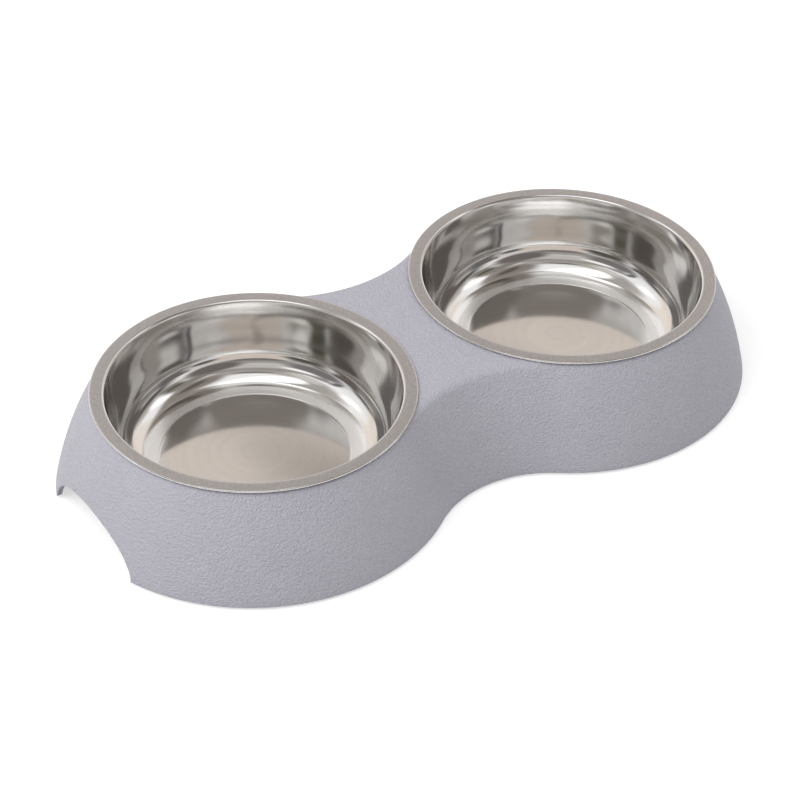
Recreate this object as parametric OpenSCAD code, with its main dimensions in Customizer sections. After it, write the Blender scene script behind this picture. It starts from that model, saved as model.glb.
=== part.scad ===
// Double pet bowl: two pressed steel bowls lifted out of a moulded stand shaped like a figure of eight.
// Lengths are in millimetres. +X runs along the stand, -Y is its front and Z = 0 is the ground.

/* [Bowls] */
// Outer diameter of a bowl's rim
rim_dia = 160; // [140:1:180]
// Width of the flat rim face, up to the rolled edge
rim_face_w = 5.5; // [4:0.1:9]
// Thickness of the pressed sheet
sheet = 0.8; // [0.6:0.05:1.2]
// How much thicker the rolled outer edge is than the sheet
roll_swell = 0.2; // [0.1:0.05:0.6]
// Radius that turns the rim face into the wall
lip_r = 1.5; // [1.3:0.1:3]
// Depth from the rim face to the floor groove
bowl_depth = 41; // [30:1:44]
// Lean of the wall from the vertical, in degrees
wall_lean = 8; // [3:0.5:14]
// Radius between the wall and the floor
floor_fillet = 15; // [8:0.5:18]
// Width of the flat groove between that radius and the raised disc
groove_w = 5.4; // [3:0.1:16]
// Rise of the disc above the groove
disc_rise = 0.8; // [0.4:0.1:1.5]
// Width of the sloping edge round the disc
disc_edge_w = 1.6; // [1:0.1:4]

/* [Stand] */
// Distance between the centres of the two bowls
bowl_spacing = 186.4; // [180:0.1:230]
// Height from the stand's lower edge to its flat top
stand_h = 53.5; // [48:0.5:70]
// Thickness of the moulded wall
shell = 2.8; // [2:0.1:4]
// Flat seat left between a bowl's hole and the shoulder
seat_w = 2.3; // [1.5:0.1:5]
// Radius of the shoulder between the flat top and the wall
shoulder_r = 5; // [4:0.1:8]
// Lean of the wall from the vertical under the shoulder, in degrees
top_lean = 29; // [18:1:36]
// Lean of the wall from the vertical at the lower edge, in degrees
foot_lean = 11.5; // [2:0.5:14]
// Distance from the long axis to the centre of a waist curve
waist_reach = 129; // [120:1:160]
// Clearance between a bowl's wall and its hole
hole_gap = 0.5; // [0.4:0.1:1.5]
// Clearance between the rolled edge and the flat top
rest_gap = 0.3; // [0.25:0.05:0.5]

/* [End notches] */
// Width of a finger notch at the lower edge
notch_w = 75; // [50:1:90]
// Height of a finger notch
notch_h = 21.5; // [12:0.5:26]

/* [Feet] */
// Diameter of a rubber foot
foot_dia = 12; // [10:0.5:14]
// Thickness of a foot's pad
foot_pad_h = 3; // [2.5:0.1:5]
// Height of the stand's lower edge above the ground
foot_lift = 1.5; // [1:0.1:2.4]
// Diameter of a foot's stem
stem_dia = 5; // [4:0.1:6]
// Length of a foot's stem
stem_l = 8; // [5:0.5:12]
// Clearance between a stem and its hole
stem_gap = 0.05; // [0.02:0.01:0.2]
// Rounding of a foot's lower edge
foot_edge_r = 0.8; // [0.4:0.1:1]
// Material round and above a stem's hole
boss_wall = 4.5; // [3.5:0.1:5.5]
// Distance from the wall's outer face to the middle of a foot
foot_inset = 9.4; // [8.5:0.1:12]
// Angle from the long axis to the feet beside a notch, in degrees
foot_angle = 34; // [32:1:50]

/* [Hidden] */

$fn = 128;
// How far a cut runs past the face that it goes through
overrun = 2;
// Straight steps in a wall curve, a small curve and a notch
wall_steps = 12;
curve_steps = 8;
notch_steps = 24;
// Step where a waist curve meets an end curve, so that the two never run tangent
blend_step = 0.1;
// Exponent that draws a notch's sides in, between an ellipse and a pointed arch
notch_shape_share = 1.2;

stand_colour = [0.73, 0.71, 0.75];
steel_colour = [0.78, 0.77, 0.75];
rubber_colour = [0.16, 0.16, 0.17];

// Radius of the rolled edge
roll_r = (sheet + roll_swell) / 2;

// Heights above the ground
edge_z = foot_lift;
top_z = edge_z + stand_h;
rim_z = top_z + rest_gap + 2 * roll_r;

// Radii of the bowl's rim and of its hole in the stand
face_out_r = rim_dia / 2 - roll_r;
face_in_r = face_out_r - rim_face_w;
neck_r = face_in_r - lip_r + sheet;
hole_r = neck_r + hole_gap;

// The shoulder's flat starts here, and the wall's long curve starts at the shoulder's end
flat_r = hole_r + seat_w;
shoulder_end = [flat_r + shoulder_r * cos(top_lean), -shoulder_r * (1 - sin(top_lean))];
wall_curve_r = (stand_h + shoulder_end[1]) / (sin(top_lean) - sin(foot_lean));
wall_centre = shoulder_end - wall_curve_r * [cos(top_lean), sin(top_lean)];
base_r = wall_centre[0] + wall_curve_r * cos(foot_lean);

// Plan of the stand: end curves round the bowls, waist curves round centres beside the middle
half_spacing = bowl_spacing / 2;
centre_reach = norm([half_spacing, waist_reach]);

// Feet
boss_r = stem_dia / 2 + boss_wall;
pad_top_z = foot_pad_h;
bore_r = stem_dia / 2 + stem_gap;
bore_l = stem_l + foot_edge_r;
foot_reach = base_r - foot_inset;

// Points on an arc round c, from angle a0 to angle a1
function arc(c, r, a0, a1, steps) =
    [for (i = [0:steps]) let (a = a0 + (a1 - a0) * i / steps) c + r * [cos(a), sin(a)]];

// Half outline of the stand's outer skin set in by an amount: [radius, height over the flat top]
function skin(inset) = concat(
    arc([flat_r, -shoulder_r], shoulder_r - inset, 90, top_lean, curve_steps),
    [for (p = arc(wall_centre, wall_curve_r - inset, top_lean, foot_lean, wall_steps))
        if (p[1] < shoulder_end[1] - inset * sin(top_lean) - wall_curve_r / 1e6) p]
);

function last(list) = list[len(list) - 1];

// The same outline seen from a waist centre, where the body lies outside it
function waist_skin(inset) = [for (p = skin(inset)) [centre_reach - p[0] - blend_step, p[1]]];

// Solid inside the skin, set in by an amount and drawn down past the lower edge by another
module envelope(inset, drop) {
    outline = skin(inset);
    waist = waist_skin(inset);
    floor_h = last(outline)[1] - drop;
    top_h = outline[0][1];
    translate([0, 0, top_z]) {
        for (side = [0, 180])
            rotate([0, 0, side])
                translate([half_spacing, 0, 0])
                    rotate_extrude()
                        polygon(concat([[0, top_h]], outline, [[last(outline)[0], floor_h], [0, floor_h]]));
        difference() {
            translate([0, 0, floor_h])
                linear_extrude(top_h - floor_h)
                    polygon([[half_spacing, 0], [0, waist_reach], [-half_spacing, 0], [0, -waist_reach]]);
            for (side = [-1, 1])
                translate([0, side * waist_reach, 0])
                    rotate_extrude()
                        polygon(concat(
                            [[0, top_h + overrun], [waist[0][0], top_h + overrun]],
                            waist,
                            [[last(waist)[0], floor_h - overrun], [0, floor_h - overrun]]));
        }
    }
}

// Where the six feet stand: two beside each end notch and one under each side of the waist
function foot_place(end, side) = end == 0
    ? [0, side * (waist_reach - centre_reach + foot_reach)]
    : [end * (half_spacing + foot_reach * cos(foot_angle)), side * foot_reach * sin(foot_angle)];

module at_feet() {
    for (end = [-1, 0, 1], side = [-1, 1])
        translate(foot_place(end, side))
            children();
}

// Arch that cuts a finger notch, along +X from the bowl's centre out through the end wall
module notch_cut() {
    arch = [for (i = [0:notch_steps]) let (a = 180 * i / notch_steps)
        [notch_w / 2 * cos(a), notch_h * pow(max(sin(a), 0), notch_shape_share)]];
    translate([half_spacing + base_r / 2, 0, edge_z])
        rotate([90, 0, 90])
            linear_extrude(base_r / 2 + overrun)
                polygon(concat(arch, [[-notch_w / 2, -overrun], [notch_w / 2, -overrun]]));
}

module stand() {
    color(stand_colour)
    difference() {
        union() {
            difference() {
                envelope(0, 0);
                envelope(shell, overrun);
            }
            intersection() {
                envelope(shell / 2, overrun);
                at_feet()
                    translate([0, 0, pad_top_z])
                        cylinder(r = boss_r, h = bore_l + boss_wall);
            }
        }
        for (side = [-1, 1])
            translate([side * half_spacing, 0, top_z - shell - overrun])
                cylinder(r = hole_r, h = shell + 2 * overrun);
        for (side = [0, 180])
            rotate([0, 0, side])
                notch_cut();
        at_feet()
            translate([0, 0, pad_top_z - overrun])
                cylinder(r = bore_r, h = bore_l + overrun);
    }
}

// Half outline of a bowl, [radius, height over the rim face], first its inside and then its outside
function bowl_outline() =
    let (
        lip_centre = [face_in_r, -lip_r],
        lip_low = lip_centre + lip_r * [-cos(wall_lean), sin(wall_lean)],
        fillet_z = floor_fillet - bowl_depth,
        wall_low_z = fillet_z - floor_fillet * sin(wall_lean),
        wall_low_r = lip_low[0] - (lip_low[1] - wall_low_z) * tan(wall_lean),
        fillet_centre = [wall_low_r - floor_fillet * cos(wall_lean), fillet_z],
        disc_out_r = fillet_centre[0] - groove_w,
        disc_in_r = disc_out_r - disc_edge_w,
        disc_z = disc_rise - bowl_depth,
        roll_centre = [face_out_r, -roll_r],
        roll_end = -180 + asin((sheet - roll_r) / roll_r)
    )
    concat(
        [[0, disc_z], [disc_in_r, disc_z], [disc_out_r, -bowl_depth]],
        arc(fillet_centre, floor_fillet, -90, -wall_lean, wall_steps),
        arc(lip_centre, lip_r, 180 - wall_lean, 90, curve_steps),
        arc(roll_centre, roll_r, 90, roll_end, 2 * curve_steps),
        arc(lip_centre, lip_r - sheet, 90, 180 - wall_lean, curve_steps),
        arc(fillet_centre, floor_fillet + sheet, -wall_lean, -90, wall_steps),
        [[disc_out_r, -bowl_depth - sheet], [disc_in_r, disc_z - sheet], [0, disc_z - sheet]]
    );

module bowl(side) {
    color(steel_colour)
        translate([side * half_spacing, 0, rim_z])
            rotate_extrude()
                polygon(bowl_outline());
}

module left_bowl() {
    bowl(-1);
}

module right_bowl() {
    bowl(1);
}

// Rubber pad with a rounded lower edge and a stem that plugs into its boss
module foot(end, side) {
    foot_r = foot_dia / 2;
    color(rubber_colour)
        translate(foot_place(end, side))
            rotate_extrude()
                polygon(concat(
                    [[0, 0]],
                    arc([foot_r - foot_edge_r, foot_edge_r], foot_edge_r, -90, 0, curve_steps),
                    [[foot_r, pad_top_z],
                     [stem_dia / 2, pad_top_z],
                     [stem_dia / 2, pad_top_z + stem_l],
                     [0, pad_top_z + stem_l]]));
}

module foot_left_front() {
    foot(-1, -1);
}

module foot_left_back() {
    foot(-1, 1);
}

module foot_waist_front() {
    foot(0, -1);
}

module foot_waist_back() {
    foot(0, 1);
}

module foot_right_front() {
    foot(1, -1);
}

module foot_right_back() {
    foot(1, 1);
}

stand();
left_bowl();
right_bowl();
foot_left_front();
foot_left_back();
foot_waist_front();
foot_waist_back();
foot_right_front();
foot_right_back();
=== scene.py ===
# Double pet bowl: a moulded stand shaped like a figure of eight, with two pressed steel bowls that lift out
# Lengths are in metres. +X runs along the stand, -Y is its front and Z = 0 is the ground
from math import atan2, cos, degrees, hypot, radians, sin

import bmesh
import bpy
from mathutils import Matrix, Vector


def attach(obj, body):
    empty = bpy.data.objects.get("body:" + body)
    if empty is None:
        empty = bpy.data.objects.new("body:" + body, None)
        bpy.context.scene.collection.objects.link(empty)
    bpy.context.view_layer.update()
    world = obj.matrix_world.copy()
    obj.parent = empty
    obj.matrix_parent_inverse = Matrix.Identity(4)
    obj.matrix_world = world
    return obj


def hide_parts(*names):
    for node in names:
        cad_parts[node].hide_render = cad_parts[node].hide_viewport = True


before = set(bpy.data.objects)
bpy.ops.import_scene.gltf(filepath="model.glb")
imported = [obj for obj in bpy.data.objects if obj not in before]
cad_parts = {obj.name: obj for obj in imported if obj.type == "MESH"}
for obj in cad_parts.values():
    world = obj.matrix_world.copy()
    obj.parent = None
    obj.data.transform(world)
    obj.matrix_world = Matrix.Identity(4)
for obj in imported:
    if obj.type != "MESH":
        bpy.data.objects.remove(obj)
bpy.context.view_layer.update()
print("frame loaded,", len(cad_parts), "CAD nodes")

fineMerge = 0.00001  # merges vertices that lie on each other


def deselectAll():
    if bpy.context.mode != "OBJECT":
        bpy.ops.object.mode_set(mode="OBJECT")
    bpy.ops.object.select_all(action="DESELECT")


def pick(piece):
    deselectAll()
    piece.select_set(True)
    bpy.context.view_layer.objects.active = piece


def editAll(piece):
    pick(piece)
    bpy.ops.object.mode_set(mode="EDIT")
    bpy.ops.mesh.select_all(action="SELECT")


def named(name):
    piece = bpy.context.active_object
    piece.name = name
    piece.data.name = name
    return piece


def startPoint(name, point):
    # A small plane drawn together to one vertex, to draw a profile from
    deselectAll()
    bpy.ops.mesh.primitive_plane_add(size=0.01, location=point)
    piece = named(name)
    bpy.ops.object.mode_set(mode="EDIT")
    bpy.ops.mesh.select_mode(type="VERT")
    bpy.ops.mesh.merge(type="CENTER")
    return piece


def drawThrough(points):
    # Extrudes the selected vertex from point to point
    for here, there in zip(points, points[1:]):
        bpy.ops.mesh.extrude_vertices_move(TRANSFORM_OT_translate={"value": Vector(there) - Vector(here)})


def sweep(steps, turn, centre):
    # Spins what is selected round an upright axis, anticlockwise by turn degrees
    bpy.ops.mesh.spin(steps=steps, angle=-radians(turn), center=centre, axis=(0, 0, 1))


def selectWhere(test, kind="verts"):
    # Selects the vertices, edges or faces of the piece in edit mode that pass a test
    bpy.ops.mesh.select_mode(type={"verts": "VERT", "edges": "EDGE", "faces": "FACE"}[kind])
    bpy.ops.mesh.select_all(action="DESELECT")
    piece = bpy.context.edit_object
    shift = piece.location
    cage = bmesh.from_edit_mesh(piece.data)
    for part in getattr(cage, kind):
        if test(part, shift):
            part.select_set(True)
    cage.select_flush_mode()
    bmesh.update_edit_mesh(piece.data)


def orderParts(piece):
    # Rebuilds the mesh in the order of its points, so that every run goes on from the same one
    deselectAll()
    mesh = piece.data
    order = sorted(range(len(mesh.vertices)), key=lambda i: tuple(mesh.vertices[i].co))
    rank = {old: new for new, old in enumerate(order)}
    points = [tuple(mesh.vertices[i].co) for i in order]
    edges = sorted(sorted(rank[i] for i in edge.vertices) for edge in mesh.edges)
    faces = []
    for face in mesh.polygons:
        corners = [rank[i] for i in face.vertices]
        first = corners.index(min(corners))
        faces.append(corners[first:] + corners[:first])
    mesh.clear_geometry()
    mesh.from_pydata(points, edges, sorted(faces))


def closeSeams(piece):
    orderParts(piece)
    editAll(piece)
    bpy.ops.mesh.remove_doubles(threshold=fineMerge)
    bpy.ops.mesh.normals_make_consistent(inside=False)
    bpy.ops.object.mode_set(mode="OBJECT")
    orderParts(piece)


def applyModifier(piece, kind, **settings):
    pick(piece)
    bpy.ops.object.modifier_add(type=kind)
    modifier = piece.modifiers[-1]
    for key, value in settings.items():
        setattr(modifier, key, value)
    bpy.ops.object.modifier_apply(modifier=modifier.name)


def placeInMesh(piece):
    pick(piece)
    bpy.ops.object.transform_apply(location=True, rotation=True, scale=True)


def combine(piece, tool, operation):
    # Joins a tool to a piece or cuts it out, and removes the tool
    applyModifier(piece, "BOOLEAN", operation=operation, solver="EXACT", object=tool)
    bpy.data.objects.remove(tool)
    orderParts(piece)


def arcPoints(centre, radius, start, end, steps):
    # Points [radius, height] on an arc, from start to end degrees
    turns = [radians(start + (end - start) * i / steps) for i in range(steps + 1)]
    return [(centre[0] + radius * cos(turn), centre[1] + radius * sin(turn)) for turn in turns]


def smooth(piece, angle=35):
    pick(piece)
    bpy.ops.object.shade_smooth_by_angle(angle=radians(angle))


# The stand: a quarter is drawn and swept, mirrored twice, given its wall, notched and rounded
standShape = {
    "bowlSpacing": 0.1864,
    "edgeHeight": 0.0015,     # height of the lower edge over the ground
    "height": 0.0535,
    "wall": 0.0028,
    "holeRadius": 0.0738,
    "holeRing": 0.0750,       # the flat ring round a hole ends here
    "waistRing": 0.0757,      # the flat strip along the waist starts here
    "flatRadius": 0.0761,     # the shoulder starts here
    "shoulderRadius": 0.005,
    "shoulderSteps": 12,
    "topLean": 29.0,          # degrees from the upright under the shoulder
    "footLean": 11.5,         # degrees from the upright at the lower edge
    "wallSteps": 16,
    "waistReach": 0.129,      # the middle of the waist's curve is this far from the long axis
    "notchWidth": 0.075,
    "notchHeight": 0.0215,
    "notchShape": 1.2,        # exponent that draws the arch's sides in
    "notchSteps": 60,
    "shortEdge": 0.0003,      # edges shorter than this at a corner are drawn together before it is rounded
    "sharpAngle": 40,         # degrees from which a corner is rounded
    "edgeRound": 0.00045,
    "roundSteps": 3,
    "sweepStep": 1.5,         # degrees
    "waistFineness": 1.2,     # steps along the waist for one step along an end
}
halfSpacing = standShape["bowlSpacing"] / 2
topZ = standShape["edgeHeight"] + standShape["height"]
rightCentre = (halfSpacing, 0, 0)
waistCentre = (0, standShape["waistReach"], 0)
centreReach = hypot(halfSpacing, standShape["waistReach"])
# Degrees from +X, round the right hole, at which an end's curve meets the waist's curve
tangentTurn = 90 + degrees(atan2(halfSpacing, standShape["waistReach"]))


def standSkin(shape):
    # Half outline of the outer skin, [radius, height], from the hole down past the lower edge, and the
    # radius at the lower edge
    lean, foot = radians(shape["topLean"]), radians(shape["footLean"])
    flat, bend = shape["flatRadius"], shape["shoulderRadius"]
    shoulder = arcPoints((flat, topZ - bend), bend, 90, shape["topLean"], shape["shoulderSteps"])
    start = shoulder[-1]
    curve = (start[1] - shape["edgeHeight"]) / (sin(lean) - sin(foot))
    centre = (start[0] - curve * cos(lean), start[1] - curve * sin(lean))
    wall = arcPoints(centre, curve, shape["topLean"], shape["footLean"], shape["wallSteps"])
    spare = 0.001  # cut off again when the lower edge is made level
    low = (wall[-1][0] + spare * sin(foot), wall[-1][1] - spare * cos(foot))
    flats = [(shape[key], topZ) for key in ("holeRadius", "holeRing", "waistRing")]
    return flats + shoulder + wall[1:] + [low], wall[-1][0]


def buildStand(shape):
    skin, baseRadius = standSkin(shape)
    turn = radians(tangentTurn)
    profile = [(halfSpacing + r * cos(turn), r * sin(turn), z) for r, z in skin]
    stand = startPoint("moulded_stand", profile[0])
    drawThrough(profile)
    bpy.ops.mesh.select_all(action="SELECT")
    sweep(round(tangentTurn / shape["sweepStep"]), -tangentTurn, rightCentre)

    # Half of the waist, from the flat strip outwards
    def onTangent(vert, shift):
        x, y, z = vert.co + shift
        along = (x - halfSpacing) * cos(turn) + y * sin(turn)
        across = (x - halfSpacing) * sin(turn) - y * cos(turn)
        return abs(across) < fineMerge and along > shape["waistRing"] - fineMerge
    selectWhere(onTangent)
    bpy.ops.mesh.select_mode(type="EDGE")
    waistTurn = tangentTurn - 90
    sweep(round(waistTurn / shape["sweepStep"] * shape["waistFineness"]), -waistTurn, waistCentre)

    # The rest of the flat ring round the hole
    def firstEdge(edge, shift):
        ends = [vert.co + shift for vert in edge.verts]
        reach = sorted(hypot(x - halfSpacing, y) for x, y, z in ends)
        turned = all(abs((x - halfSpacing) * sin(turn) - y * cos(turn)) < fineMerge for x, y, z in ends)
        wanted = (shape["holeRadius"], shape["holeRing"])
        inRing = all(abs(a - b) < fineMerge for a, b in zip(reach, wanted))
        return turned and inRing and ends[0][2] > topZ - fineMerge
    selectWhere(firstEdge, "edges")
    sweep(round((180 - tangentTurn) / shape["sweepStep"]), 180 - tangentTurn, rightCentre)

    # The flat between the ring and the waist strip is drawn round its corner and filled
    innerX = halfSpacing - shape["holeRing"]
    waistY = shape["waistReach"] - (centreReach - shape["waistRing"])
    selectWhere(lambda vert, shift: (vert.co + shift - Vector((innerX, 0, topZ))).length < fineMerge)
    drawThrough([(innerX, 0, topZ), (0, 0, topZ), (0, waistY, topZ)])
    orderParts(stand)
    editAll(stand)
    bpy.ops.mesh.remove_doubles(threshold=fineMerge)

    def roundFlat(edge, shift):
        for vert in edge.verts:
            x, y, z = vert.co + shift
            inFlat = (z > topZ - fineMerge and x < halfSpacing
                      and hypot(x - halfSpacing, y) > shape["holeRing"] - fineMerge
                      and hypot(x, y - shape["waistReach"]) > centreReach - shape["waistRing"] - fineMerge)
            if not inFlat:
                return False
        return len(edge.link_faces) < 2
    selectWhere(roundFlat, "edges")
    bpy.ops.mesh.edge_face_add()
    placeInMesh(stand)
    orderParts(stand)
    applyModifier(stand, "MIRROR", use_axis=(True, True, False), merge_threshold=fineMerge)
    closeSeams(stand)
    if max(stand.data.polygons, key=lambda face: face.area).normal.z < 0:
        stand.data.flip_normals()
    applyModifier(stand, "SOLIDIFY", thickness=shape["wall"], offset=-1, use_even_offset=True)

    # The lower edge is cut level and closed
    editAll(stand)
    bpy.ops.mesh.bisect(plane_co=(0, 0, shape["edgeHeight"]), plane_no=(0, 0, 1), clear_inner=True)
    bpy.ops.mesh.bridge_edge_loops()
    bpy.ops.object.mode_set(mode="OBJECT")
    closeSeams(stand)
    return stand, baseRadius


def notchCutter(shape):
    # An arch drawn at one end and extruded right through both ends
    reach, spare = 0.25, 0.005  # past both ends, and below the lower edge
    half, edge = shape["notchWidth"] / 2, shape["edgeHeight"]
    steps = shape["notchSteps"]
    arch = []
    for i in range(steps + 1):
        turn = radians(180 * i / steps)
        rise = shape["notchHeight"] * max(sin(turn), 0) ** shape["notchShape"]
        arch.append((-reach, half * cos(turn), edge + rise))
    arch += [(-reach, -half, edge - spare), (-reach, half, edge - spare), arch[0]]
    cutter = startPoint("notch_cutter", arch[0])
    drawThrough(arch)
    bpy.ops.mesh.select_all(action="SELECT")
    bpy.ops.mesh.remove_doubles(threshold=fineMerge)
    bpy.ops.mesh.edge_face_add()
    bpy.ops.mesh.extrude_region_move(TRANSFORM_OT_translate={"value": (2 * reach, 0, 0)})
    placeInMesh(cutter)
    closeSeams(cutter)
    return cutter


def selectSharp(angle):
    bpy.ops.mesh.select_all(action="DESELECT")
    bpy.ops.mesh.edges_select_sharp(sharpness=radians(angle))


def roundEdges(piece, shape):
    pick(piece)
    bpy.ops.object.mode_set(mode="EDIT")
    bpy.ops.mesh.select_mode(type="EDGE")
    selectSharp(shape["sharpAngle"])
    bpy.ops.mesh.remove_doubles(threshold=shape["shortEdge"])
    selectSharp(shape["sharpAngle"])
    bpy.ops.mesh.bevel(
        offset=shape["edgeRound"], segments=shape["roundSteps"], profile=0.5, clamp_overlap=False)
    orderParts(piece)


stand, baseRadius = buildStand(standShape)
print("stand swept,", len(stand.data.polygons), "faces")
combine(stand, notchCutter(standShape), "DIFFERENCE")
roundEdges(stand, standShape)
print("stand notched and rounded,", len(stand.data.polygons), "faces")

# Feet and the bosses that hold them: one of each is modelled and copied to the six places
footShape = {
    "sides": 64,
    "padRadius": 0.006,
    "padHeight": 0.003,
    "edgeRound": 0.0008,
    "roundSteps": 5,
    "stemRadius": 0.0025,
    "stemLength": 0.008,
    "stemRing": 0.0006,       # from the stem's edge to a ring of edges in its end
    "boreRadius": 0.00255,
    "boreLength": 0.0088,
    "bossRadius": 0.007,
    "bossRoof": 0.0045,       # material over the bore
    "inset": 0.0094,          # from the wall's outer face to the middle of a foot
    "endAngle": 34,           # degrees from the long axis to the feet beside a notch
    "wallLean": 13.6,         # degrees from the upright, beside a boss
    "grooveInset": 0.0012,    # from the pad's rounded edge to the groove
    "grooveWidth": 0.0009,
    "grooveDepth": 0.0004,
}


def footPlaces(shape):
    # Name, place and outward direction of each foot
    reach = baseRadius - shape["inset"]
    turn = radians(shape["endAngle"])
    places = {}
    for side, sideName in ((-1, "front"), (1, "back")):
        for end, endName in ((-1, "left"), (1, "right")):
            place = (end * (halfSpacing + reach * cos(turn)), side * reach * sin(turn))
            places[f"foot_{endName}_{sideName}"] = (place, atan2(side * sin(turn), end * cos(turn)))
        waistY = side * (standShape["waistReach"] - centreReach + reach)
        places[f"foot_waist_{sideName}"] = ((0, waistY), side * radians(90))
    return places


def levelFace(height, up):
    # A test for faces at a height that look up, for up 1, or down, for up -1
    def test(face, shift):
        atHeight = abs(face.calc_center_median().z + shift.z - height) < fineMerge
        return atHeight and face.normal.z * up > 0.9
    return test


def startCylinder(name, sides, radius, height, bottom):
    # An upright cylinder, left in edit mode
    deselectAll()
    bpy.ops.mesh.primitive_cylinder_add(
        vertices=sides, radius=radius, depth=height, location=(0, 0, bottom + height / 2))
    piece = named(name)
    bpy.ops.object.mode_set(mode="EDIT")
    return piece


def pushFaces(height):
    bpy.ops.mesh.extrude_region_move(TRANSFORM_OT_translate={"value": (0, 0, height)})


def buildFoot(shape):
    # A round pad with a rounded lower edge, a groove in its underside and a stem on top
    foot = startCylinder("foot_pattern", shape["sides"], shape["padRadius"], shape["padHeight"], 0)
    selectWhere(levelFace(shape["padHeight"], 1), "faces")
    bpy.ops.mesh.inset(thickness=shape["padRadius"] - shape["stemRadius"])
    pushFaces(shape["stemLength"])
    bpy.ops.mesh.inset(thickness=shape["stemRing"])
    selectWhere(levelFace(0, -1), "faces")
    bpy.ops.mesh.bevel(offset=shape["edgeRound"], segments=shape["roundSteps"], affect="EDGES")
    selectWhere(levelFace(0, -1), "faces")
    bpy.ops.mesh.inset(thickness=shape["grooveInset"])
    bpy.ops.mesh.inset(thickness=shape["grooveWidth"])
    ringIn = shape["padRadius"] - shape["edgeRound"] - shape["grooveInset"] - shape["grooveWidth"]

    def grooveFace(face, shift):
        middle = face.calc_center_median() + shift
        reach = hypot(middle.x, middle.y)
        return abs(middle.z) < fineMerge and ringIn < reach < ringIn + shape["grooveWidth"]
    selectWhere(grooveFace, "faces")
    pushFaces(shape["grooveDepth"])
    bpy.ops.object.mode_set(mode="OBJECT")
    placeInMesh(foot)
    return foot


def buildBoss(shape):
    # A round boss with a blind bore, cut off in the middle of the stand's leaning wall
    height = shape["boreLength"] + shape["bossRoof"]
    boss = startCylinder("boss_pattern", shape["sides"], shape["bossRadius"], height, shape["padHeight"])
    selectWhere(levelFace(shape["padHeight"], -1), "faces")
    bpy.ops.mesh.inset(thickness=shape["bossRadius"] - shape["boreRadius"])
    pushFaces(shape["boreLength"])
    bpy.ops.mesh.select_all(action="SELECT")
    lean = radians(shape["wallLean"])
    middle = (shape["inset"] - standShape["wall"] / 2, 0, standShape["edgeHeight"])
    bpy.ops.mesh.bisect(plane_co=middle, plane_no=(cos(lean), 0, sin(lean)), clear_outer=True, use_fill=True)
    bpy.ops.object.mode_set(mode="OBJECT")
    placeInMesh(boss)
    return boss


def copyTo(pattern, name, place, turn):
    # A copy with its own mesh, put at a place and turned there
    piece = pattern.copy()
    piece.data = pattern.data.copy()
    bpy.context.scene.collection.objects.link(piece)
    piece.name = name
    piece.data.name = name
    piece.location = (place[0], place[1], 0)
    piece.rotation_euler = (0, 0, turn)
    placeInMesh(piece)
    orderParts(piece)
    return piece


footPattern = buildFoot(footShape)
bossPattern = buildBoss(footShape)
feet = {}
for name, (place, turn) in footPlaces(footShape).items():
    feet[name] = copyTo(footPattern, "rubber_" + name, place, turn)
    smooth(feet[name])
    combine(stand, copyTo(bossPattern, "boss", place, turn), "UNION")
bpy.data.objects.remove(footPattern)
bpy.data.objects.remove(bossPattern)
closeSeams(stand)
smooth(stand)
print("feet and bosses in place,", len(stand.data.polygons), "faces in the stand")

# The bowls: one half outline of the pressed sheet, spun right round
bowlShape = {
    "rimRadius": 0.08,
    "rimZ": 0.0563,
    "rimFaceWidth": 0.0055,
    "sheet": 0.0008,
    "rollRadius": 0.0005,     # rolled outer edge
    "rollEnd": -143.13,       # degrees at which the rolled edge meets the sheet's underside
    "rollSteps": 18,
    "lipRadius": 0.0015,      # turns the rim face into the wall
    "lipSteps": (12, 10),     # inside and outside
    "depth": 0.041,
    "wallLean": 8.0,          # degrees from the upright
    "ringRadius": 0.0539,     # the flat ring ends and the fillet starts here
    "filletEase": 50.0,       # degrees after which the fillet's curve eases off into the wall
    "filletSteps": (20, 24),  # on its arc and on the part that eases off
    "grooveWidth": 0.0054,
    "discRise": 0.0008,
    "discEdge": 0.0016,       # width of the step from the disc down to the floor
    "edgeSteps": 6,
    "middleRadius": 0.0320,   # the disc is a shallow dome inside this, and falls faster from here to its edge
    "domeRise": 0.0009,       # of the disc's middle over discRise
    "domeSteps": 16,
    "middleRise": 0.00035,    # at middleRadius, over discRise
    "fallSteps": 8,
    "edgeDrop": 0.0003,       # of the disc's edge below discRise
    "support": 0.0003,        # keeps the flats flat beside a curve
    "spinSteps": 240,
    "smoothAngle": 60,
}


def easedFillet(start, wallPoint, lean, ease, steps):
    # Points [radius, height, turn] from the level floor to the leaning wall: an arc that eases off at its end
    last = radians(90 - lean)
    first = radians(ease)
    arcSteps, easeSteps = steps
    easeLength = 2 * (last - first)
    turns = [first * i / arcSteps for i in range(arcSteps + 1)]
    lengths = [first / arcSteps] * arcSteps
    for i in range(1, easeSteps + 1):
        along = easeLength * i / easeSteps
        turns.append(first + along - along * along / (2 * easeLength))
        lengths.append(easeLength / easeSteps)
    unit = [(0.0, 0.0)]
    for here, there, length in zip(turns, turns[1:], lengths):
        middle = (here + there) / 2
        unit.append((unit[-1][0] + length * cos(middle), unit[-1][1] + length * sin(middle)))
    away = (wallPoint[0] - start[0]) * cos(radians(lean)) - (wallPoint[1] - start[1]) * sin(radians(lean))
    reach = unit[-1][0] * cos(radians(lean)) - unit[-1][1] * sin(radians(lean))
    size = away / reach
    return [(start[0] + size * x, start[1] + size * z, turn) for (x, z), turn in zip(unit, turns)]


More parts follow.
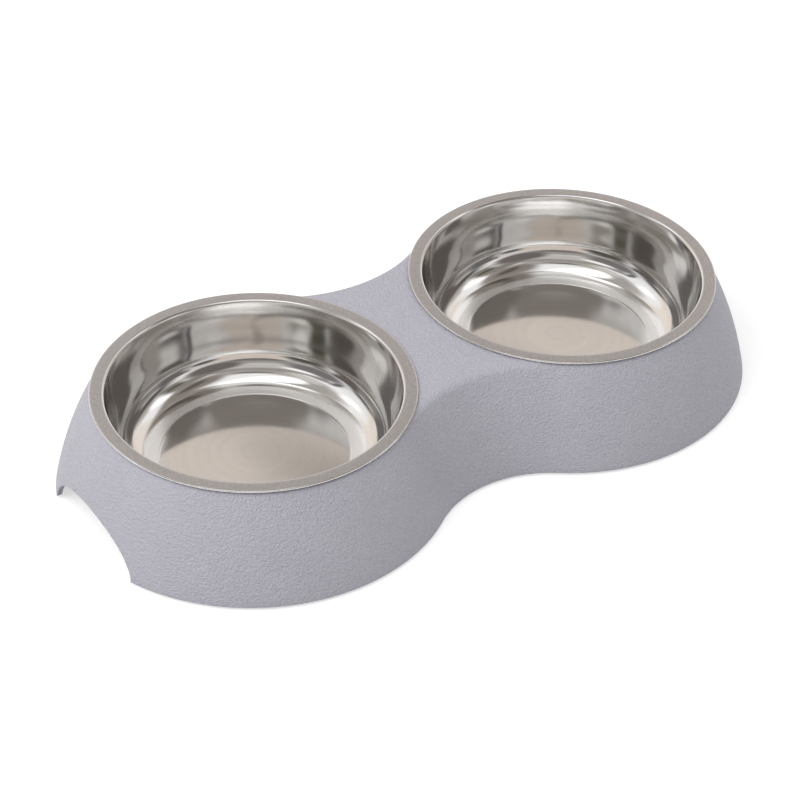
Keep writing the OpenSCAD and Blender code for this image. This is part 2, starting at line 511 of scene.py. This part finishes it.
def bowlOutline(shape):
    # Half outline of the sheet, [radius, height], first its inside and then its outside
    sheet, lip, roll, lean = (shape[key] for key in ("sheet", "lipRadius", "rollRadius", "wallLean"))
    faceZ = shape["rimZ"]
    faceOut = shape["rimRadius"] - roll
    faceIn = faceOut - shape["rimFaceWidth"]
    floorZ = faceZ - shape["depth"]
    lipLow = (faceIn - lip * cos(radians(lean)), faceZ - lip + lip * sin(radians(lean)))
    fillet = easedFillet(
        (shape["ringRadius"], floorZ), lipLow, lean, shape["filletEase"], shape["filletSteps"])
    discOut = shape["ringRadius"] - shape["grooveWidth"]
    discIn = discOut - shape["discEdge"]
    discZ = floorZ + shape["discRise"]
    edgeZ = discZ - shape["edgeDrop"]

    # The disc: a dome in the middle, a faster fall round it and a soft step down to the floor
    middle, middleZ, support = shape["middleRadius"], discZ + shape["middleRise"], shape["support"]
    dome, domeSteps = shape["domeRise"] - shape["middleRise"], shape["domeSteps"]
    floor = [(middle * i / domeSteps, middleZ + dome * (1 - (i / domeSteps) ** 2))
             for i in range(domeSteps + 1)]
    fallStart = 2 * dome / middle  # the slope at the dome's edge goes on into the fall
    fallWidth = discIn - middle
    fallCurve = (middleZ - edgeZ - fallStart * fallWidth) / fallWidth ** 2
    fallSteps = shape["fallSteps"]
    for share in [i / fallSteps for i in range(1, fallSteps)] + [1 - support / fallWidth]:
        reach = fallWidth * share
        floor.append((middle + reach, middleZ - fallStart * reach - fallCurve * reach * reach))
    edgeSteps = shape["edgeSteps"]
    for i in range(edgeSteps + 1):
        drop = (edgeZ - floorZ) * (1 - cos(radians(180 * i / edgeSteps))) / 2
        floor.append((discIn + shape["discEdge"] * i / edgeSteps, edgeZ - drop))
    floor.append((discOut + support, floorZ))

    lipIn, lipOut = shape["lipSteps"]
    inside = floor + [(r, z) for r, z, turn in fillet]
    inside += arcPoints((faceIn, faceZ - lip), lip, 180 - lean, 90, lipIn)
    inside += arcPoints((faceOut, faceZ - roll), roll, 90, shape["rollEnd"], shape["rollSteps"])
    outside = arcPoints((faceIn, faceZ - lip), lip - sheet, 90, 180 - lean, lipOut)
    outside += [(r + sheet * sin(turn), z - sheet * cos(turn)) for r, z, turn in reversed(fillet)]
    outside += [(r, z - sheet) for r, z in reversed(floor)]
    return inside + outside


def buildBowl(name, shape, centreX):
    outline = [(centreX + r, 0, z) for r, z in bowlOutline(shape)]
    bowl = startPoint(name, outline[0])
    drawThrough(outline)
    bpy.ops.mesh.select_all(action="SELECT")
    sweep(shape["spinSteps"], 360, (centreX, 0, 0))
    placeInMesh(bowl)
    closeSeams(bowl)
    smooth(bowl, shape["smoothAngle"])
    return bowl


bowls = {}
for side, sideName in ((-1, "left"), (1, "right")):
    bowls[sideName] = buildBowl(f"steel_bowl_{sideName}", bowlShape, side * halfSpacing)
print("bowls spun,", len(bowls["left"].data.polygons), "faces each")


# Materials
def screenColour(red, green, blue):
    # A colour as it looks on a screen, 0 to 255, made linear
    values = [value / 255 for value in (red, green, blue)]
    linear = [value / 12.92 if value <= 0.04045 else ((value + 0.055) / 1.055) ** 2.4 for value in values]
    return tuple(linear) + (1.0,)


def addNode(tree, kind, x, y, **settings):
    node = tree.nodes.new(kind)
    node.location = (x, y)
    for key, value in settings.items():
        setattr(node, key, value)
    return node


def setInputs(node, values):
    for key, value in values.items():
        node.inputs[key].default_value = value


def emptyTree(owner):
    # The node tree of a material or of the world, with its first nodes taken out
    owner.use_nodes = True
    owner.node_tree.nodes.clear()
    return owner.node_tree


def rangeNode(tree, x, y, value, source, result, **settings):
    # Turns a value in one range into a value in another
    node = addNode(tree, "ShaderNodeMapRange", x, y, **settings)
    setInputs(node, {"From Min": source[0], "From Max": source[1], "To Min": result[0], "To Max": result[1]})
    tree.links.new(value, node.inputs["Value"])
    return node.outputs["Result"]


def bumpNode(tree, shader, height, distance):
    bump = addNode(tree, "ShaderNodeBump", 200, -300)
    setInputs(bump, {"Strength": 1.0, "Distance": distance})
    tree.links.new(height, bump.inputs["Height"])
    tree.links.new(bump.outputs["Normal"], shader.inputs["Normal"])


def rampNode(tree, x, y, value, points):
    # A colour ramp through rows of place and colour
    ramp = addNode(tree, "ShaderNodeValToRGB", x, y)
    stops = ramp.color_ramp.elements
    while len(stops) < len(points):
        stops.new(0.5)
    for stop, (place, colour) in zip(stops, points):
        stop.position = place
        stop.color = colour + (1.0,)
    tree.links.new(value, ramp.inputs["Fac"])
    return ramp.outputs["Color"]


def newMaterial(name):
    material = bpy.data.materials.new(name)
    tree = emptyTree(material)
    output = addNode(tree, "ShaderNodeOutputMaterial", 900, 0)
    shader = addNode(tree, "ShaderNodeBsdfPrincipled", 600, 0)
    tree.links.new(shader.outputs["BSDF"], output.inputs["Surface"])
    place = addNode(tree, "ShaderNodeTexCoord", -1200, 0)
    return material, tree, shader, place.outputs["Object"]


def newGroup(name, inputs, outputs):
    group = bpy.data.node_groups.new(name, "ShaderNodeTree")
    for socketName, kind in inputs:
        group.interface.new_socket(name=socketName, in_out="INPUT", socket_type="NodeSocket" + kind)
    for socketName, kind in outputs:
        group.interface.new_socket(name=socketName, in_out="OUTPUT", socket_type="NodeSocket" + kind)
    return group, addNode(group, "NodeGroupInput", -1000, 0), addNode(group, "NodeGroupOutput", 800, 0)


grainShape = {
    "warpScale": 300.0,
    "warp": 0.0012,           # how far the cells are pushed about
    "cellSoftness": 0.6,
    "cellShare": -0.8,        # below 0, so that the cells are raised, with valleys between them
    "mottleScale": 45.0,
}


def buildGrainGroup(shape):
    # Fine leather-like grain of a moulded surface: soft cells, wrinkled by noise, and a broader mottle
    group, source, result = newGroup(
        "mouldGrain",
        [("Vector", "Vector"), ("Cells", "Float"), ("Wrinkles", "Float")],
        [("Height", "Float"), ("Mottle", "Float")])
    link = group.links.new
    warp = addNode(group, "ShaderNodeTexNoise", -800, 200)
    setInputs(warp, {"Scale": shape["warpScale"], "Detail": 2.0})
    shift = addNode(group, "ShaderNodeVectorMath", -600, 200, operation="MULTIPLY_ADD")
    setInputs(shift, {1: (shape["warp"], shape["warp"], shape["warp"])})
    link(source.outputs["Vector"], warp.inputs["Vector"])
    link(warp.outputs["Color"], shift.inputs[0])
    link(source.outputs["Vector"], shift.inputs[2])
    cells = addNode(group, "ShaderNodeTexVoronoi", -400, 200, feature="SMOOTH_F1")
    setInputs(cells, {"Smoothness": shape["cellSoftness"]})
    link(shift.outputs[0], cells.inputs["Vector"])
    link(source.outputs["Cells"], cells.inputs["Scale"])
    wrinkles = addNode(group, "ShaderNodeTexNoise", -400, -100)
    setInputs(wrinkles, {"Detail": 4.0, "Roughness": 0.6})
    link(source.outputs["Vector"], wrinkles.inputs["Vector"])
    link(source.outputs["Wrinkles"], wrinkles.inputs["Scale"])
    mix = addNode(group, "ShaderNodeMath", 0, 100, operation="MULTIPLY_ADD")
    link(cells.outputs["Distance"], mix.inputs[0])
    mix.inputs[1].default_value = shape["cellShare"]
    link(wrinkles.outputs["Fac"], mix.inputs[2])
    mottle = addNode(group, "ShaderNodeTexNoise", -400, -400)
    setInputs(mottle, {"Scale": shape["mottleScale"], "Detail": 3.0, "Roughness": 0.55})
    link(source.outputs["Vector"], mottle.inputs["Vector"])
    link(mix.outputs[0], result.inputs["Height"])
    link(mottle.outputs["Fac"], result.inputs["Mottle"])
    return group


turnedShape = {
    "drift": 0.0012,          # how much the lines change on their way round
    "bandScale": 220.0,
}


def buildTurnedGroup(shape):
    # Fine lines round a bowl's axis, as polishing leaves them, and broader bands of the same kind
    group, source, result = newGroup(
        "turnedLines",
        [("Vector", "Vector"), ("Fineness", "Float")],
        [("Lines", "Float"), ("Bands", "Float"), ("Radius", "Float")])
    link = group.links.new
    split = addNode(group, "ShaderNodeSeparateXYZ", -800, 0)
    link(source.outputs["Vector"], split.inputs[0])
    flat = addNode(group, "ShaderNodeCombineXYZ", -600, 200)
    link(split.outputs["X"], flat.inputs["X"])
    link(split.outputs["Y"], flat.inputs["Y"])
    radius = addNode(group, "ShaderNodeVectorMath", -400, 200, operation="LENGTH")
    link(flat.outputs[0], radius.inputs[0])
    turn = addNode(group, "ShaderNodeVectorMath", -400, 0, operation="NORMALIZE")
    link(flat.outputs[0], turn.inputs[0])
    drift = addNode(group, "ShaderNodeVectorMath", -200, 0, operation="SCALE")
    drift.inputs["Scale"].default_value = shape["drift"]
    link(turn.outputs[0], drift.inputs[0])
    across = addNode(group, "ShaderNodeMath", -200, 200, operation="SUBTRACT")
    link(radius.outputs["Value"], across.inputs[0])
    link(split.outputs["Z"], across.inputs[1])
    lift = addNode(group, "ShaderNodeCombineXYZ", 0, 200)
    link(across.outputs[0], lift.inputs["Z"])
    place = addNode(group, "ShaderNodeVectorMath", 150, 100, operation="ADD")
    link(drift.outputs[0], place.inputs[0])
    link(lift.outputs[0], place.inputs[1])
    lines = addNode(group, "ShaderNodeTexNoise", 350, 200)
    setInputs(lines, {"Detail": 3.0, "Roughness": 0.7})
    link(place.outputs[0], lines.inputs["Vector"])
    link(source.outputs["Fineness"], lines.inputs["Scale"])
    bands = addNode(group, "ShaderNodeTexNoise", 350, -100)
    setInputs(bands, {"Scale": shape["bandScale"], "Detail": 2.0})
    link(place.outputs[0], bands.inputs["Vector"])
    link(lines.outputs["Fac"], result.inputs["Lines"])
    link(bands.outputs["Fac"], result.inputs["Bands"])
    link(radius.outputs["Value"], result.inputs["Radius"])
    return group


grainGroup = buildGrainGroup(grainShape)
turnedGroup = buildTurnedGroup(turnedShape)


def addGrain(tree, place, look):
    grain = addNode(tree, "ShaderNodeGroup", -800, 0, node_tree=grainGroup)
    setInputs(grain, {"Cells": look["cells"], "Wrinkles": look["wrinkles"]})
    tree.links.new(place, grain.inputs["Vector"])
    return grain


def addMottle(tree, grain, first, second):
    # Two colours, mixed by the grain's broad mottle
    mottle = addNode(tree, "ShaderNodeMix", -300, 200, data_type="RGBA")
    mottle.inputs["A"].default_value = first
    mottle.inputs["B"].default_value = second
    tree.links.new(grain.outputs["Mottle"], mottle.inputs["Factor"])
    return mottle.outputs["Result"]


plasticLook = {
    "colour": screenColour(182, 180, 190),
    "paleColour": screenColour(190, 189, 198),
    "grainRange": (0.05, 0.6),  # heights of the grain's hollows and tops
    "grainShadeAndLight": (0.92, 1.06),  # painted shade in the grain's hollows and painted light on its tops: how dark the hollows and how light the tops are
    "cells": 880.0,             # grain cells per metre
    "wrinkles": 1300.0,
    "grainHeight": 0.00068,
    "roughness": (0.42, 0.55),
    "specular": 0.35,
}


def buildPlastic(look):
    material, tree, shader, place = newMaterial("stand_plastic")
    link = tree.links.new
    grain = addGrain(tree, place, look)
    height = grain.outputs["Height"]
    # The colour is painted darker in the grain's hollows and lighter on its tops: painted shade and painted
    # light
    reliefShadeAndLight = rangeNode(tree, -300, 400, height, look["grainRange"], look["grainShadeAndLight"])
    tint = addNode(tree, "ShaderNodeVectorMath", 0, 200, operation="SCALE")
    link(addMottle(tree, grain, look["colour"], look["paleColour"]), tint.inputs[0])
    link(reliefShadeAndLight, tint.inputs["Scale"])
    link(tint.outputs[0], shader.inputs["Base Color"])
    rough = rangeNode(tree, -200, 0, grain.outputs["Mottle"], (0.0, 1.0), look["roughness"])
    link(rough, shader.inputs["Roughness"])
    bumpNode(tree, shader, height, look["grainHeight"])
    setInputs(shader, {"Specular IOR Level": look["specular"]})
    return material


steelLook = {
    "fineness": 5200.0,       # lines per metre, roughly
    "lineHeight": 0.0000015,
    "lineRange": (0.3, 0.7),  # values of the noise that count as its lowest and highest
    "lineRoughness": (0.75, 1.3),  # shares of the roughness below, between two lines and on one
    # painted shade between the polishing lines and painted light on them
    "lineShadeRange": (0.25, 0.75),
    "lineShadeTint": (0.94, 1.05),
    "bandTint": (0.97, 1.02),
    "reach": 0.08,            # the rows below go out to this radius
    # radius from the bowl's axis, colour there, painted zone by zone on the one steel: painted shade on the
    # darker disc, a painted reflection on the pale ring, the polished wall, painted shade on the satin rim
    # face
    "paintedReflectionTones": [
        (0.0, (0.60, 0.585, 0.570)),
        (0.0468, (0.60, 0.585, 0.570)),
        (0.0484, (0.98, 0.97, 0.955)),
        (0.0528, (0.98, 0.97, 0.955)),
        (0.0548, (0.79, 0.782, 0.770)),
        (0.0733, (0.79, 0.782, 0.770)),
        (0.0740, (0.445, 0.438, 0.445)),
        (0.0793, (0.445, 0.438, 0.445)),
        (0.0796, (0.72, 0.705, 0.695)),
    ],
    "speckles": 1300.0,       # soft specks per metre on the satin rim face
    "speckTint": (0.80, 1.20),
    # radius, strength of the specks there
    "speckle": [
        (0.0, 0.04),
        (0.0735, 0.04),
        (0.0742, 1.0),
    ],
    # radius, roughness there
    "polish": [
        (0.0, 0.09),
        (0.0468, 0.09),
        (0.0484, 0.42),
        (0.0528, 0.42),
        (0.0550, 0.08),
        (0.0734, 0.06),
        (0.0741, 0.36),
        (0.0793, 0.36),
        (0.0796, 0.12),
    ],
}


def buildSteel(name, look, centreX):
    material, tree, shader, place = newMaterial(name)
    link = tree.links.new
    centred = addNode(tree, "ShaderNodeMapping", -1000, 0)
    centred.inputs["Location"].default_value = (-centreX, 0, 0)
    link(place, centred.inputs["Vector"])
    turned = addNode(tree, "ShaderNodeGroup", -800, 0, node_tree=turnedGroup)
    setInputs(turned, {"Fineness": look["fineness"]})
    link(centred.outputs[0], turned.inputs["Vector"])
    share = addNode(tree, "ShaderNodeMath", -600, 400, operation="DIVIDE")
    share.inputs[1].default_value = look["reach"]
    link(turned.outputs["Radius"], share.inputs[0])

    def alongRadius(y, points):
        # A value or a colour that changes with the distance from the bowl's axis
        rows = [(radius / look["reach"], value if isinstance(value, tuple) else (value, value, value))
                for radius, value in points]
        return rampNode(tree, -400, y, share.outputs[0], rows)

    def times(x, y, first, second):
        product = addNode(tree, "ShaderNodeMath", x, y, operation="MULTIPLY")
        link(first, product.inputs[0])
        link(second, product.inputs[1])
        return product.outputs[0]

    lines = turned.outputs["Lines"]
    vary = rangeNode(tree, -250, -100, lines, look["lineRange"], look["lineRoughness"])
    link(times(200, 100, alongRadius(300, look["polish"]), vary), shader.inputs["Roughness"])
    bumpNode(tree, shader, lines, look["lineHeight"])
    dull = rangeNode(tree, -50, 400, turned.outputs["Bands"], look["lineRange"], look["bandTint"])
    # Painted shade between the polishing lines and painted light on them, following the bump's lines
    lineShade = rangeNode(tree, -50, 200, lines, look["lineShadeRange"], look["lineShadeTint"])
    specks = addNode(tree, "ShaderNodeTexNoise", -400, 1000)
    setInputs(specks, {"Scale": look["speckles"], "Detail": 2.0, "Roughness": 0.6})
    link(place, specks.inputs["Vector"])
    where = addNode(tree, "ShaderNodeMix", 150, 900)
    setInputs(where, {"A": 1.0})
    link(alongRadius(1200, look["speckle"]), where.inputs["Factor"])
    speckled = rangeNode(tree, -50, 1000, specks.outputs["Fac"], look["lineRange"], look["speckTint"])
    link(speckled, where.inputs["B"])
    # The base colour is painted by radius: painted shade on the disc and the rim face, a painted reflection
    # on the pale ring
    tint = addNode(tree, "ShaderNodeVectorMath", 350, 600, operation="SCALE")
    link(alongRadius(700, look["paintedReflectionTones"]), tint.inputs[0])
    link(times(250, 700, times(150, 300, dull, lineShade), where.outputs["Result"]), tint.inputs["Scale"])
    link(tint.outputs[0], shader.inputs["Base Color"])
    setInputs(shader, {"Metallic": 1.0})
    return material


rubberLook = {
    "colour": screenColour(62, 62, 64),
    "wornColour": screenColour(84, 83, 83),
    "cells": 1800.0,
    "wrinkles": 3000.0,
    "grainHeight": 0.00003,
    "roughness": 0.8,
}


def buildRubber(look):
    material, tree, shader, place = newMaterial("foot_rubber")
    grain = addGrain(tree, place, look)
    tree.links.new(addMottle(tree, grain, look["colour"], look["wornColour"]), shader.inputs["Base Color"])
    bumpNode(tree, shader, grain.outputs["Height"], look["grainHeight"])
    setInputs(shader, {"Roughness": look["roughness"]})
    return material


def dress(piece, material, body, node):
    piece.data.materials.clear()
    piece.data.materials.append(material)
    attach(piece, body)
    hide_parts(node)


dress(stand, buildPlastic(plasticLook), "stand", "stand")
for side, sideName in ((-1, "left"), (1, "right")):
    steel = buildSteel(f"bowl_steel_{sideName}", steelLook, side * halfSpacing)
    dress(bowls[sideName], steel, f"{sideName}_bowl", f"{sideName}_bowl")
rubber = buildRubber(rubberLook)
for name, foot in feet.items():
    dress(foot, rubber, "stand", name)
print("materials made")

# Camera, as fitted to the photograph: it looks past the target in the plane of the rims
cameraView = {
    "yaw": 34.442,            # degrees, from +Y towards +X
    "pitch": 37.453,          # degrees below the horizon
    "roll": 1.325,
    "distance": 1.1756,
    "target": (-0.03904, -0.04669, 0.0563),
    "lens": 109.45,           # mm
    "sensor": 36,             # mm across
    "clipStart": 0.01,
}
aim = (Matrix.Rotation(-radians(cameraView["yaw"]), 3, "Z")
       @ Matrix.Rotation(radians(90 - cameraView["pitch"]), 3, "X")
       @ Matrix.Rotation(radians(cameraView["roll"]), 3, "Z"))
deselectAll()
cameraPlace = Vector(cameraView["target"]) + aim @ Vector((0, 0, cameraView["distance"]))
bpy.ops.object.camera_add(location=cameraPlace, rotation=aim.to_euler())
camera = bpy.context.active_object
camera.name = "photo_camera"
camera.data.lens = cameraView["lens"]
camera.data.sensor_width = cameraView["sensor"]
camera.data.clip_start = cameraView["clipStart"]
bpy.context.scene.camera = camera

# Light: a plain level from all round, soft lamps above, and a room that only glossy rays see
lightLook = {
    "level": 0.66,            # of the world's light on the object
    "floorSize": 8,
    "floorColour": (0.58, 0.58, 0.58, 1.0),
    "floorLift": 0.56,        # glow that brings the floor up to white where it is seen
    # name, azimuth and elevation in degrees, distance, size, power, colour
    "lamps": [
        ("key_lamp", -125, 50, 1.6, 1.1, 15, (1.0, 1.0, 1.0)),
        ("side_lamp", 75, 40, 1.8, 0.9, 3, (1.0, 0.97, 0.94)),
    ],
}
scene = bpy.context.scene
scene.view_settings.view_transform = "Standard"
scene.cycles.glossy_bounces = 8  # a bowl's ends mirror each other many times


def seenDirectly(tree, x, y):
    # 1 for what the camera, a mirror or a clear surface sees, 0 for light on a surface
    path = addNode(tree, "ShaderNodeLightPath", x, y)
    first = addNode(tree, "ShaderNodeMath", x + 200, y, operation="ADD")
    second = addNode(tree, "ShaderNodeMath", x + 400, y, operation="ADD", use_clamp=True)
    tree.links.new(path.outputs["Is Camera Ray"], first.inputs[0])
    tree.links.new(path.outputs["Is Glossy Ray"], first.inputs[1])
    tree.links.new(first.outputs[0], second.inputs[0])
    tree.links.new(path.outputs["Is Transmission Ray"], second.inputs[1])
    return second.outputs[0]


def buildWorld(look):
    world = bpy.data.worlds.new("studio")
    scene.world = world
    tree = emptyTree(world)
    output = addNode(tree, "ShaderNodeOutputWorld", 600, 0)
    light = addNode(tree, "ShaderNodeBackground", 400, 0)
    setInputs(light, {"Color": (1.0, 1.0, 1.0, 1.0)})
    strength = rangeNode(tree, 200, 0, seenDirectly(tree, -400, 0), (0.0, 1.0), (look["level"], 1.0))
    tree.links.new(strength, light.inputs["Strength"])
    tree.links.new(light.outputs[0], output.inputs["Surface"])


def buildFloor(look):
    deselectAll()
    bpy.ops.mesh.primitive_plane_add(size=look["floorSize"])
    plane = named("studio_floor")
    material = bpy.data.materials.new("pale_floor")
    tree = emptyTree(material)
    output = addNode(tree, "ShaderNodeOutputMaterial", 600, 0)
    both = addNode(tree, "ShaderNodeAddShader", 400, 0)
    matt = addNode(tree, "ShaderNodeBsdfDiffuse", 200, 100)
    setInputs(matt, {"Color": look["floorColour"]})
    glow = addNode(tree, "ShaderNodeEmission", 200, -100)
    lift = addNode(tree, "ShaderNodeMath", 0, -100, operation="MULTIPLY")
    setInputs(lift, {1: look["floorLift"]})
    tree.links.new(seenDirectly(tree, -600, -100), lift.inputs[0])
    tree.links.new(lift.outputs[0], glow.inputs["Strength"])
    tree.links.new(matt.outputs[0], both.inputs[0])
    tree.links.new(glow.outputs[0], both.inputs[1])
    tree.links.new(both.outputs[0], output.inputs["Surface"])
    plane.data.materials.append(material)


buildWorld(lightLook)
buildFloor(lightLook)
lookAlong = Vector((sin(radians(cameraView["yaw"])), cos(radians(cameraView["yaw"])), 0))
lookAcross = Vector((lookAlong.y, -lookAlong.x, 0))


def studioPoint(azimuth, elevation, distance):
    # Azimuth 0 is beyond the object and 90 to the right, as the camera sees it
    level = lookAlong * cos(radians(azimuth)) + lookAcross * sin(radians(azimuth))
    return level * (distance * cos(radians(elevation))) + Vector((0, 0, distance * sin(radians(elevation))))


def facing(point):
    return (-point).to_track_quat("-Z", "Y").to_euler()


def addLamp(name, azimuth, elevation, distance, size, power, colour):
    point = studioPoint(azimuth, elevation, distance)
    deselectAll()
    bpy.ops.object.light_add(type="AREA", location=point, rotation=facing(point))
    lamp = bpy.context.active_object
    lamp.name = name
    lamp.data.shape = "RECTANGLE"
    lamp.data.size = lamp.data.size_y = size
    lamp.data.energy = power
    lamp.data.color = colour
    lamp.visible_glossy = False  # the steel mirrors the room, not the lamps


def studioTurn(azimuth, elevation):
    # The turn that brings +Y to a direction, with Z kept upright
    return studioPoint(azimuth, elevation, 1).to_track_quat("Y", "Z").to_euler()


for lampRow in lightLook["lamps"]:
    addLamp(*lampRow)

# What the steel mirrors: a room of soft light and dark fields, which only glossy rays see
roomLook = {
    "radius": 3.0,
    "segments": 48,
    "rings": 24,
    "brightness": 1.05,
    # elevation, colour of the room there
    "levels": [
        (12, (1.0, 1.0, 1.0)),
        (28, (0.88, 0.87, 0.86)),
        (40, (1.0, 1.0, 1.0)),
        (51, (1.0, 1.0, 1.0)),
        (57, (0.52, 0.48, 0.45)),
        (67, (0.50, 0.46, 0.43)),
        (76, (1.0, 1.0, 1.0)),
    ],
    # azimuth, elevation, half width and half height in degrees, softness of the edge, colour
    "fields": [
        (-14, 31, 88, 11, 0.25, (0.88, 0.79, 0.72)),      # backdrop beyond the bowls
        (0, 44, 34, 9, 0.3, (0.92, 0.84, 0.77)),
        (180, 41, 42, 9, 0.4, (0.58, 0.55, 0.53)),        # behind the camera
        (180, 55, 52, 7, 0.35, (0.36, 0.33, 0.31)),
        (180, 22, 34, 9, 0.4, (0.38, 0.36, 0.34)),
        (180, 17, 22, 4, 0.4, (0.20, 0.18, 0.17)),
        (180, 68, 12, 3, 0.5, (0.14, 0.14, 0.14)),
        (-50, 80, 17, 9, 0.4, (1.90, 1.90, 1.92)),        # overhead
        (60, 61, 42, 6, 0.4, (0.33, 0.30, 0.27)),         # right side
        (22, 64, 20, 5, 0.4, (0.30, 0.27, 0.25)),
        (88, 68, 22, 10, 0.35, (0.27, 0.24, 0.22)),
        (88, 65, 12, 4, 0.4, (0.13, 0.11, 0.10)),
        (64, 31, 15, 9, 0.5, (0.50, 0.47, 0.43)),
        (108, 48, 25, 6.5, 0.3, (0.27, 0.25, 0.23)),
        (72, 20, 36, 10, 0.4, (0.12, 0.11, 0.10)),
        (71, 45, 9, 8, 0.4, (1.30, 1.30, 1.30)),
        (98, 33, 12, 6, 0.4, (0.25, 0.24, 0.21)),
        (100, 40, 11, 4, 0.4, (0.12, 0.12, 0.09)),
        (143, 30, 22, 14, 0.3, (0.17, 0.15, 0.14)),
        (-130, 27, 24, 13, 0.4, (0.20, 0.19, 0.19)),      # left side
        (-120, 43, 11, 6, 0.4, (0.33, 0.31, 0.30)),
        (-110, 59, 17, 6, 0.4, (0.68, 0.66, 0.63)),
        (-46, 66, 24, 5, 0.4, (0.42, 0.40, 0.38)),
        (-67, 47, 9, 7, 0.4, (1.25, 1.25, 1.25)),
        (-140, 40, 13, 4, 0.5, (1.1, 1.1, 1.1)),
        (-78, 17, 22, 9, 0.4, (0.12, 0.12, 0.13)),
        (-104, 36, 3, 9, 0.5, (0.16, 0.16, 0.17)),
    ],
}


def buildRoom(look):
    deselectAll()
    bpy.ops.mesh.primitive_uv_sphere_add(
        segments=look["segments"], ring_count=look["rings"], radius=look["radius"])
    room = named("studio_room")
    bpy.ops.object.shade_smooth()
    room.visible_camera = room.visible_diffuse = room.visible_shadow = room.visible_transmission = False
    material = bpy.data.materials.new("studio_room")
    tree = emptyTree(material)
    link = tree.links.new
    output = addNode(tree, "ShaderNodeOutputMaterial", 600, 0)
    glow = addNode(tree, "ShaderNodeEmission", 400, 0)
    setInputs(glow, {"Strength": look["brightness"]})
    link(glow.outputs[0], output.inputs["Surface"])
    place = addNode(tree, "ShaderNodeTexCoord", -1600, 0)
    direction = addNode(tree, "ShaderNodeVectorMath", -1400, 0, operation="NORMALIZE")
    link(place.outputs["Object"], direction.inputs[0])
    split = addNode(tree, "ShaderNodeSeparateXYZ", -1200, 300)
    link(direction.outputs[0], split.inputs[0])
    levels = [(sin(radians(elevation)), colour) for elevation, colour in look["levels"]]
    seen = rampNode(tree, -1000, 300, split.outputs["Z"], levels)
    for row, (azimuth, elevation, halfWidth, halfHeight, softness, colour) in enumerate(look["fields"]):
        # The field is an ellipse round its own direction, measured in angles
        y = -300 * row
        turn = addNode(tree, "ShaderNodeMapping", -900, y, vector_type="TEXTURE")
        turn.inputs["Rotation"].default_value = studioTurn(azimuth, elevation)
        link(direction.outputs[0], turn.inputs["Vector"])
        parts = addNode(tree, "ShaderNodeSeparateXYZ", -700, y)
        link(turn.outputs[0], parts.inputs[0])
        across = addNode(tree, "ShaderNodeMath", -500, y, operation="ARCTAN2")
        link(parts.outputs["X"], across.inputs[0])
        link(parts.outputs["Y"], across.inputs[1])
        up = addNode(tree, "ShaderNodeMath", -500, y - 150, operation="ARCSINE")
        link(parts.outputs["Z"], up.inputs[0])
        pair = addNode(tree, "ShaderNodeCombineXYZ", -300, y)
        link(across.outputs[0], pair.inputs["X"])
        link(up.outputs[0], pair.inputs["Y"])
        scaled = addNode(tree, "ShaderNodeVectorMath", -150, y, operation="MULTIPLY")
        scaled.inputs[1].default_value = (1 / radians(halfWidth), 1 / radians(halfHeight), 0)
        link(pair.outputs[0], scaled.inputs[0])
        far = addNode(tree, "ShaderNodeVectorMath", 0, y, operation="LENGTH")
        link(scaled.outputs[0], far.inputs[0])
        mask = rangeNode(tree, 150, y, far.outputs["Value"], (1 + softness, 1 - softness), (0.0, 1.0),
                         interpolation_type="SMOOTHSTEP")
        blend = addNode(tree, "ShaderNodeMix", 300, y, data_type="RGBA")
        link(mask, blend.inputs["Factor"])
        link(seen, blend.inputs["A"])
        blend.inputs["B"].default_value = colour + (1.0,)
        seen = blend.outputs["Result"]
    link(seen, glow.inputs["Color"])
    room.data.materials.append(material)


buildRoom(roomLook)
print("camera and lights set")
